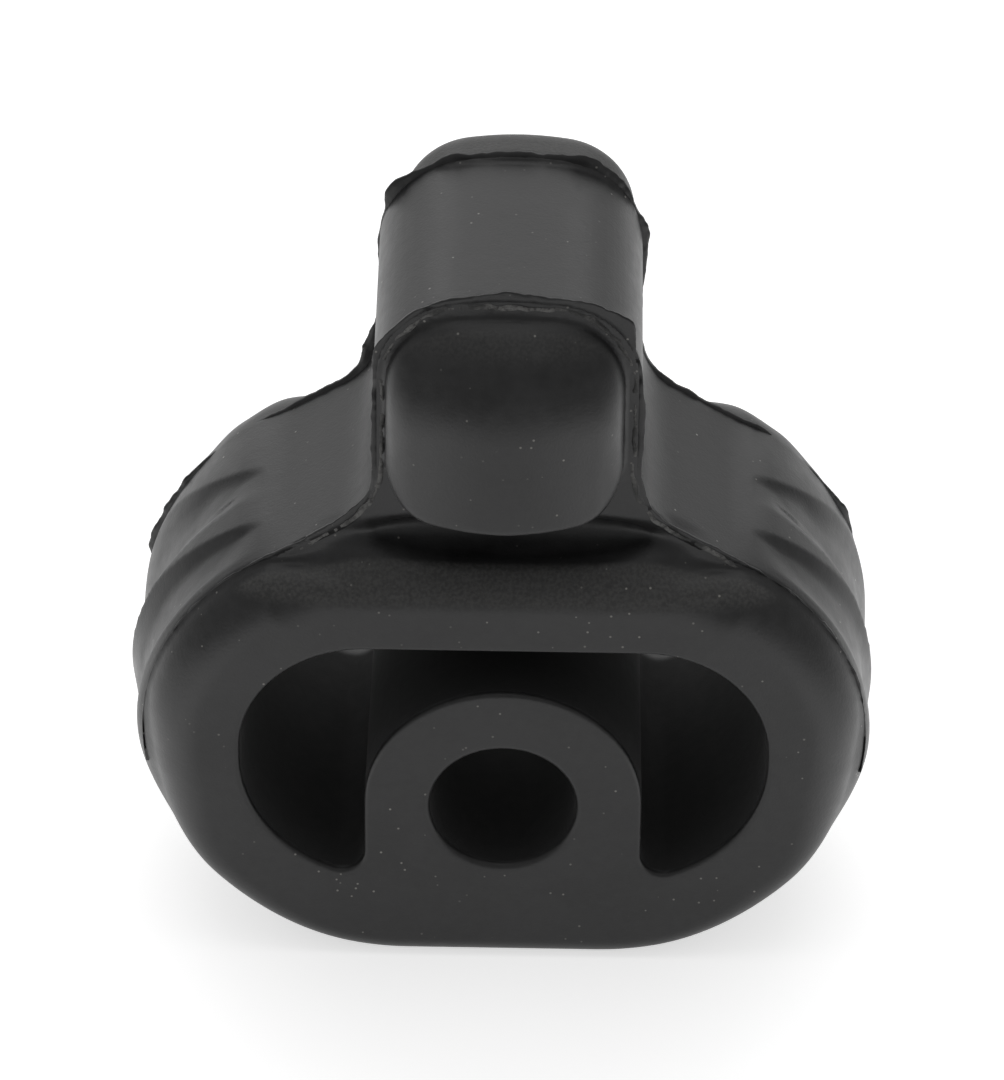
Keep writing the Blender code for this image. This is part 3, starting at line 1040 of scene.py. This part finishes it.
NEAR_TEARS = (
    Tear(12.0, 0.22, 2.6, 2.2),
    Tear(0.5, 0.40, 8.5, 8.0),
    Tear(-9.6, 1.0, 2.4, 4.6, -0.10, True),
    Tear(-16.5, 0.12, 3.0, 2.0),
    Tear(29.0, 0.20, 2.0, 3.0),
)
FAR_TEARS = (
    Tear(25.5, 0.75, 3.5, 6.0),
    Tear(9.4, 0.70, 3.6, 4.2),
    Tear(4.5, 0.40, 5.5, 4.5),
    Tear(0.5, 0.35, 5.5, 5.5),
    Tear(-3.0, 0.40, 5.0, 5.0),
    Tear(-5.6, 0.50, 2.6, 3.2),
    Tear(-8.5, 0.70, 4.0, 4.5),
    Tear(-14.9, 0.50, 4.5, 3.6),
    Tear(35.0, 0.28, 8.0, 9.0),
    Tear(48.0, 0.25, 5.0, 5.0),
    Tear(53.5, 0.85, 5.0, 5.5),
    Tear(-31.5, 0.25, 2.0, 4.0),
    Tear(-38.0, 0.25, 8.0, 7.0),
    Tear(-50.0, 0.30, 5.0, 5.0),
    Tear(-56.5, 0.35, 4.0, 3.0),
)


class Socket:
    """A shader socket that adds Math nodes when it is used in an expression."""

    def __init__(self, tree: "ShaderTree", output: Union[bpy.types.NodeSocket, float]) -> None:
        """Wrap a node's output, or a plain number."""
        self.tree = tree
        self.output = output

    def _math(self, operation: str, *values: object, clamp: bool = False) -> "Socket":
        """One Math node on the given values."""
        settings = {"operation": operation, "use_clamp": clamp}
        return self.tree.node("ShaderNodeMath", settings, dict(enumerate(values)))

    def __add__(self, other: object) -> "Socket":
        """Sum."""
        return self._math("ADD", self, other)

    __radd__ = __add__

    def __sub__(self, other: object) -> "Socket":
        """Difference."""
        return self._math("SUBTRACT", self, other)

    def __rsub__(self, other: object) -> "Socket":
        """Difference from a number."""
        return self._math("SUBTRACT", other, self)

    def __mul__(self, other: object) -> "Socket":
        """Product."""
        return self._math("MULTIPLY", self, other)

    __rmul__ = __mul__

    def __pow__(self, other: object) -> "Socket":
        """Power."""
        return self._math("POWER", self, other)

    def at_most(self, other: object) -> "Socket":
        """The smaller of two values."""
        return self._math("MINIMUM", self, other)

    def at_least(self, other: object) -> "Socket":
        """The larger of two values."""
        return self._math("MAXIMUM", self, other)

    def size(self) -> "Socket":
        """The value without its sign."""
        return self._math("ABSOLUTE", self)

    def step(self, start: float, end: float, turned: bool = False) -> "Socket":
        """A smooth step from 0 at start to 1 at end, or from 1 to 0 when it is turned round."""
        settings = {"interpolation_type": "SMOOTHSTEP"}
        values = {"Value": self, "From Min": start, "From Max": end, "To Min": float(turned),
                  "To Max": float(not turned)}
        return self.tree.node("ShaderNodeMapRange", settings, values)


class ShaderTree:
    """The node tree of one finish."""

    def __init__(self, name: str) -> None:
        """Start a material with an empty tree and a Principled shader."""
        self.material = bpy.data.materials.new(name)
        self.material.use_nodes = True
        self.tree = self.material.node_tree
        self.shader = self.tree.nodes["Principled BSDF"]

    def node(self, kind: str, settings: dict[str, object], inputs: dict[object, object],
             output: object = 0) -> Socket:
        """Add one node.

        Args:
            kind: the node's type.
            settings: its own settings, set before its sockets.
            inputs: values or links of its input sockets, by name or number.
            output: name or number of the output socket that is wanted.

        Returns:
            The wanted output.
        """
        made = self.tree.nodes.new(kind)
        for name, value in settings.items():
            setattr(made, name, value)
        for name, value in inputs.items():
            self.feed(made.inputs[name], value)
        return Socket(self, made.outputs[output])

    def feed(self, target: bpy.types.NodeSocket, value: object) -> None:
        """Link a socket to another, or set its value."""
        if isinstance(value, Socket):
            self.tree.links.new(value.output, target)
        else:
            target.default_value = value

    def place(self) -> Socket:
        """The point on the piece, in metres."""
        return self.node("ShaderNodeTexCoord", {}, {}, "Object")

    def along(self, place: Socket, axes: str) -> list[Socket]:
        """A point's coordinates on the named axes."""
        return [self.node("ShaderNodeSeparateXYZ", {}, {"Vector": place}, axis) for axis in axes]

    def noise(self, place: Socket, scale: float, detail: float) -> Socket:
        """Cloudy noise whose features are about one over the scale in metres."""
        values = {"Vector": place, "Scale": scale, "Detail": detail}
        return self.node("ShaderNodeTexNoise", {}, values, "Fac")

    def relief(self, height: Socket, strength: float) -> Socket:
        """A normal bent by a height of up to a tenth of a millimetre."""
        values = {"Strength": strength, "Distance": 0.0001, "Height": height}
        return self.node("ShaderNodeBump", {}, values, "Normal")

    def shade(self, values: dict[str, object]) -> bpy.types.Material:
        """Set or link sockets of the shader, and give back the material."""
        for name, value in values.items():
            self.feed(self.shader.inputs[name], value)
        return self.material

    def colour_mix(self, share: object, one: object, two: object) -> Socket:
        """Blend two colours by a share."""
        made = self.tree.nodes.new("ShaderNodeMix")
        made.data_type = "RGBA"
        for place, value in ((0, share), (6, one), (7, two)):
            self.feed(made.inputs[place], value)
        return Socket(self, made.outputs[2])


@dataclass(frozen=True)
class MouldedRubber:
    """Matte black rubber with fine mould grain, faint blotches, a little pale dust and pale wear, with
    painted shade on the walls of the pocket and the hole and painted light on the loop's top.

    Spans are in metres: the soft edges of the places that look different.
    """

    name: str = "moulded_rubber"
    dark: tuple[float, float, float, float] = (0.014, 0.014, 0.0142, 1.0)
    light: tuple[float, float, float, float] = (0.025, 0.025, 0.0254, 1.0)
    # Painted shade: an even dark colour for the walls of the pocket and the hole.
    painted_shade_colour: tuple[float, float, float, float] = (0.015, 0.015, 0.0151, 1.0)
    # Pale wear colour, also used as painted light on the loop's top.
    scuff_and_painted_light: tuple[float, float, float, float] = (0.085, 0.084, 0.081, 1.0)
    dust: tuple[float, float, float, float] = (0.30, 0.29, 0.27, 1.0)
    shine: float = 0.42
    roughness: float = 0.42
    grain_bump: float = 0.30
    # Where the painted shade of the pocket and the hole begins and ends.
    pocket_side: Span = (0.0218, 0.0222)
    pocket_top: Span = (0.0325, 0.0330)
    pocket_floor: Span = (0.0076, 0.0081)
    pocket_front: Span = (-0.0131, -0.0127)
    pocket_back: Span = (0.0135, 0.0145)
    # Edges of the pale band on the loop's top, partly wear and partly painted light, and of the pale pad
    # top.
    ledge_low: Span = (0.0356, 0.0370)
    ledge_high: Span = (0.0395, 0.0405)
    pad_worn: Span = (0.0592, 0.0612)
    front_faces: Span = (-0.0112, -0.0107)
    back_faces: Span = (0.0103, 0.0108)
    back_top: Span = (0.0600, 0.0625)

    def inside(self, x: Socket, y: Socket, z: Socket) -> Socket:
        """Where painted shade darkens the walls of the pocket and the hole, from 0 to 1."""
        walls = x.size().step(*self.pocket_side, turned=True) * z.step(*self.pocket_top, turned=True)
        walls = walls * z.step(*self.pocket_floor)
        return walls * y.step(*self.pocket_front) * y.step(*self.pocket_back, turned=True)

    def worn_and_lit_band(self, y: Socket, z: Socket) -> Socket:
        """Where the loop's top and the front pad's top show pale wear, and where painted light lifts the
        loop's top in the front pad's shade, from 0 to 1.
        """
        loop_top_wear_and_light = z.step(*self.ledge_low) * z.step(*self.ledge_high, turned=True)
        return (loop_top_wear_and_light + z.step(*self.pad_worn) * 0.5) * y.step(*self.front_faces, turned=True)

    @staticmethod
    def dust_cover(tree: ShaderTree, place: Socket) -> Socket:
        """How much pale dust lies at each point: tiny grains, and a few hair-like scratches.

        Args:
            tree: the material's nodes.
            place: the point on the rubber.

        Returns:
            The share of dust.
        """
        cover = tree.noise(place, 130.0, 3.0).step(0.36, 0.62) * 0.8 + 0.2
        values = {"Vector": place, "Scale": 820.0}
        far = tree.node("ShaderNodeTexVoronoi", {}, values, "Distance")
        pick = tree.node("ShaderNodeTexVoronoi", {}, values, "Color")
        grains = far.step(0.04, 0.11, turned=True) * pick.step(0.45, 0.75)
        stretch = tree.node("ShaderNodeMapping", {}, {"Vector": place, "Rotation": (0.3, 0.5, 0.9),
                                                      "Scale": (1.0, 0.08, 1.0)})
        thread = tree.node("ShaderNodeTexVoronoi", {}, {"Vector": stretch, "Scale": 900.0}, "Distance")
        hairs = thread.step(0.03, 0.06, turned=True) * tree.noise(place, 300.0, 2.0).step(0.60, 0.70)
        return (grains * cover + hairs * 0.35).at_most(1.0)

    def make(self) -> bpy.types.Material:
        """Build the material.

        Returns:
            The finished material.
        """
        tree = ShaderTree(self.name)
        place = tree.place()
        blotch = tree.noise(place, 180.0, 4.0)
        cloud = tree.noise(place, 900.0, 3.0)
        grain = tree.noise(place, 4200.0, 2.0)
        crumbs = tree.noise(place, 3600.0, 2.0)
        x, y, z = tree.along(place, "XYZ")
        # Mask of the painted shade in the pocket and the hole.
        inside = self.inside(x, y, z)
        tone = (blotch * 0.6 + cloud * 0.4).step(0.32, 0.68)
        colour = tree.colour_mix(tone, self.dark, self.light)
        rough_top = y.step(*self.back_faces) * z.step(*self.back_top)
        # Pale wear on the back pad's top and the front tops, with painted light lifting the loop's top in
        # the front pad's shade.
        scuffed_and_painted_light = (self.worn_and_lit_band(y, z) * 0.8 + rough_top * 0.6) * (crumbs.step(0.30, 0.72) * 0.5 + 0.3)
        colour = tree.colour_mix(scuffed_and_painted_light, colour, self.scuff_and_painted_light)
        colour = tree.colour_mix(self.dust_cover(tree, place), colour, self.dust)
        # Painted shade on the pocket and hole walls, which also hides their blotches, wear and dust.
        colour = tree.colour_mix(inside, colour, self.painted_shade_colour)
        rough = cloud * 0.14 + blotch * 0.10 + (self.roughness - 0.12) + scuffed_and_painted_light * 0.2 + inside * 0.5
        height = grain * 0.5 + cloud * 0.5 + crumbs * rough_top
        return tree.shade({"Base Color": colour, "Specular IOR Level": self.shine, "Roughness": rough,
                           "Normal": tree.relief(height, self.grain_bump)})


@dataclass(frozen=True)
class TornRubber:
    """Dull grey rubber where the flash was torn away."""

    name: str = "torn_rubber"
    dark: tuple[float, float, float, float] = (0.045, 0.045, 0.044, 1.0)
    light: tuple[float, float, float, float] = (0.17, 0.168, 0.163, 1.0)
    roughness: float = 0.8
    crumb_bump: float = 0.6

    def make(self) -> bpy.types.Material:
        """Build the material.

        Returns:
            The finished material.
        """
        tree = ShaderTree(self.name)
        place = tree.place()
        patch = tree.noise(place, 420.0, 3.0)
        crumb = tree.noise(place, 3200.0, 2.0)
        colour = tree.colour_mix(patch.step(0.38, 0.56) * crumb.step(0.25, 0.60), self.dark, self.light)
        return tree.shade({"Base Color": colour, "Roughness": crumb * 0.2 + (self.roughness - 0.1),
                           "Normal": tree.relief(crumb, self.crumb_bump)})


@dataclass(frozen=True)
class Lamp:
    """A square soft lamp that faces the hanger."""

    name: str
    place: tuple[float, float, float]
    size: float
    watts: float

    def make(self) -> None:
        """Put the lamp in the scene."""
        data = bpy.data.lights.new(self.name, "AREA")
        data.size = self.size
        data.energy = self.watts
        lamp = bpy.data.objects.new(self.name, data)
        lamp.location = self.place
        aim = Vector((0.0, 0.0, 0.03)) - Vector(self.place)
        lamp.rotation_euler = aim.to_track_quat("-Z", "Y").to_euler()
        bpy.context.scene.collection.objects.link(lamp)


@dataclass
class Studio:
    """Pale floor, soft lamps and the camera at the photograph's angle.

    The paper glows for the camera and in gloss only, and more beside the hanger than in front of it.
    """

    azimuth: float = 0.510
    elevation: float = 36.5
    roll: float = 0.595
    distance: float = 0.600
    target: tuple[float, float, float] = (-0.000297, -0.0135, 0.043256)
    pixels_per_metre: float = 12511.0
    frame_height: float = 1080.0
    sensor: float = 36.0
    paper_glow: float = 1.2
    paper_share: float = 0.5
    paper_front: float = 0.2
    paper_edge: Span = (0.14, 0.20)
    beside_share: float = 0.8
    beside_start: Span = (0.03, 0.05)
    beside_end: Span = (0.09, 0.14)
    beside_back: Span = (0.01, 0.05)
    room: float = 0.35
    lamps: tuple[Lamp, ...] = (
        Lamp("left_softbox", (-0.62, 0.98, 0.38), 0.9, 1.7),
        Lamp("right_softbox", (0.62, 0.98, 0.38), 0.9, 1.1),
        Lamp("back_softbox", (0.0, 1.2, 0.9), 1.5, 6.6),
        Lamp("top_softbox", (0.0, 0.2, 1.5), 1.2, 4.0),
    )

    def camera(self) -> None:
        """Place the camera as it was fitted to the photograph."""
        a, e, r = (math.radians(v) for v in (self.azimuth, self.elevation, self.roll))
        back = Vector((math.sin(a) * math.cos(e), -math.cos(a) * math.cos(e), math.sin(e)))
        level = (-back).cross(Vector((0.0, 0.0, 1.0))).normalized()
        rise = level.cross(-back)
        right = level * math.cos(r) + rise * math.sin(r)
        up = rise * math.cos(r) - level * math.sin(r)
        turn = Matrix((right, up, back)).transposed().to_4x4()
        turn.translation = Vector(self.target) + back * self.distance
        data = bpy.data.cameras.new("camera")
        data.sensor_width = self.sensor
        data.lens = self.pixels_per_metre * self.distance / self.frame_height * self.sensor
        data.clip_start, data.clip_end = 0.01, 20.0
        camera = bpy.data.objects.new("camera", data)
        camera.matrix_world = turn
        bpy.context.scene.collection.objects.link(camera)
        bpy.context.scene.camera = camera

    def floor(self) -> None:
        """A wide pale floor that keeps the shadow."""
        reach = 3.0
        mesh = bpy.data.meshes.new("floor")
        front = -self.paper_front
        mesh.from_pydata([(-reach, front, 0), (reach, front, 0), (reach, reach, 0), (-reach, reach, 0)],
                         [], [(0, 1, 2, 3)])
        tree = ShaderTree("floor_paper")
        seen = tree.node("ShaderNodeLightPath", {}, {}, "Is Camera Ray")
        glossy = tree.node("ShaderNodeLightPath", {}, {}, "Is Glossy Ray")
        x, y = tree.along(tree.place(), "XY")
        across = x.size()
        beside = across.step(*self.beside_start) * across.step(*self.beside_end, turned=True)
        beside = beside * y.step(*self.beside_back, turned=True)
        near = across.step(*self.paper_edge, turned=True)
        glow = seen.at_least(glossy * near) * self.paper_share + glossy * beside * self.beside_share
        black, white = (0.0, 0.0, 0.0, 1.0), (1.0, 1.0, 1.0, 1.0)
        mesh.materials.append(tree.shade({
            "Base Color": (0.92, 0.92, 0.92, 1.0), "Roughness": 0.9, "Specular IOR Level": 0.0,
            "Emission Strength": self.paper_glow, "Emission Color": tree.colour_mix(glow, black, white)}))
        floor = bpy.data.objects.new("floor", mesh)
        bpy.context.scene.collection.objects.link(floor)
        floor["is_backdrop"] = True

    def light(self) -> None:
        """The lamps and the plain pale surroundings."""
        for lamp in self.lamps:
            lamp.make()
        world = bpy.data.worlds.new("surroundings")
        world.use_nodes = True
        nodes, links = world.node_tree.nodes, world.node_tree.links
        lit = nodes["Background"]
        lit.inputs["Strength"].default_value = self.room
        shown = nodes.new("ShaderNodeBackground")
        shown.inputs["Strength"].default_value = 1.0
        for background in (lit, shown):
            background.inputs["Color"].default_value = (1.0, 1.0, 1.0, 1.0)
        path = nodes.new("ShaderNodeLightPath")
        mix = nodes.new("ShaderNodeMixShader")
        links.new(path.outputs["Is Camera Ray"], mix.inputs[0])
        links.new(lit.outputs[0], mix.inputs[1])
        links.new(shown.outputs[0], mix.inputs[2])
        links.new(mix.outputs[0], nodes["World Output"].inputs["Surface"])
        bpy.context.scene.world = world

    def make(self) -> None:
        """Set up the whole studio."""
        bpy.context.scene.view_settings.view_transform = "Standard"
        self.camera()
        self.floor()
        self.light()


def write_sizes() -> None:
    """Gather the CAD's box and the shown model's box."""
    boxes = {"cad": CAD_BOX, "visual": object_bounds()}
    boxes = {name: [list(corner) for corner in box] for name, box in boxes.items()}


def main() -> None:
    """Build the hanger's pieces in order and set the scene."""
    logging.basicConfig(level=logging.INFO, format="%(message)s")
    rubber = MouldedRubber().make()
    form = RubberForm()
    skin = Skin(form, CELL)
    points, quads = skin.draw(SKIN_LOW, SKIN_HIGH)
    points = skin.settle(points, quads, SKIN_ROUNDS)
    body = make_piece("rubber_body", points, quads, rubber)
    thin_out(body, MOST_TRIANGLES)
    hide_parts(NODE)
    log.info("rubber_body: %d faces drawn, %d kept", len(quads), len(body.data.polygons))
    line = form.waist.outline()
    torn = TornRubber().make()
    depth = form.waist.half_depth
    for name, plane, seed, tears in (("front", -depth, 11, NEAR_TEARS), ("back", depth, 47, FAR_TEARS)):
        Flash(f"{name}_flash", plane, seed, tears).make(line, rubber)
        TornLip(f"{name}_torn_lip", plane, seed + 20).make(line, torn)
    Studio().make()
    write_sizes()


if __name__ == "__main__":
    main()
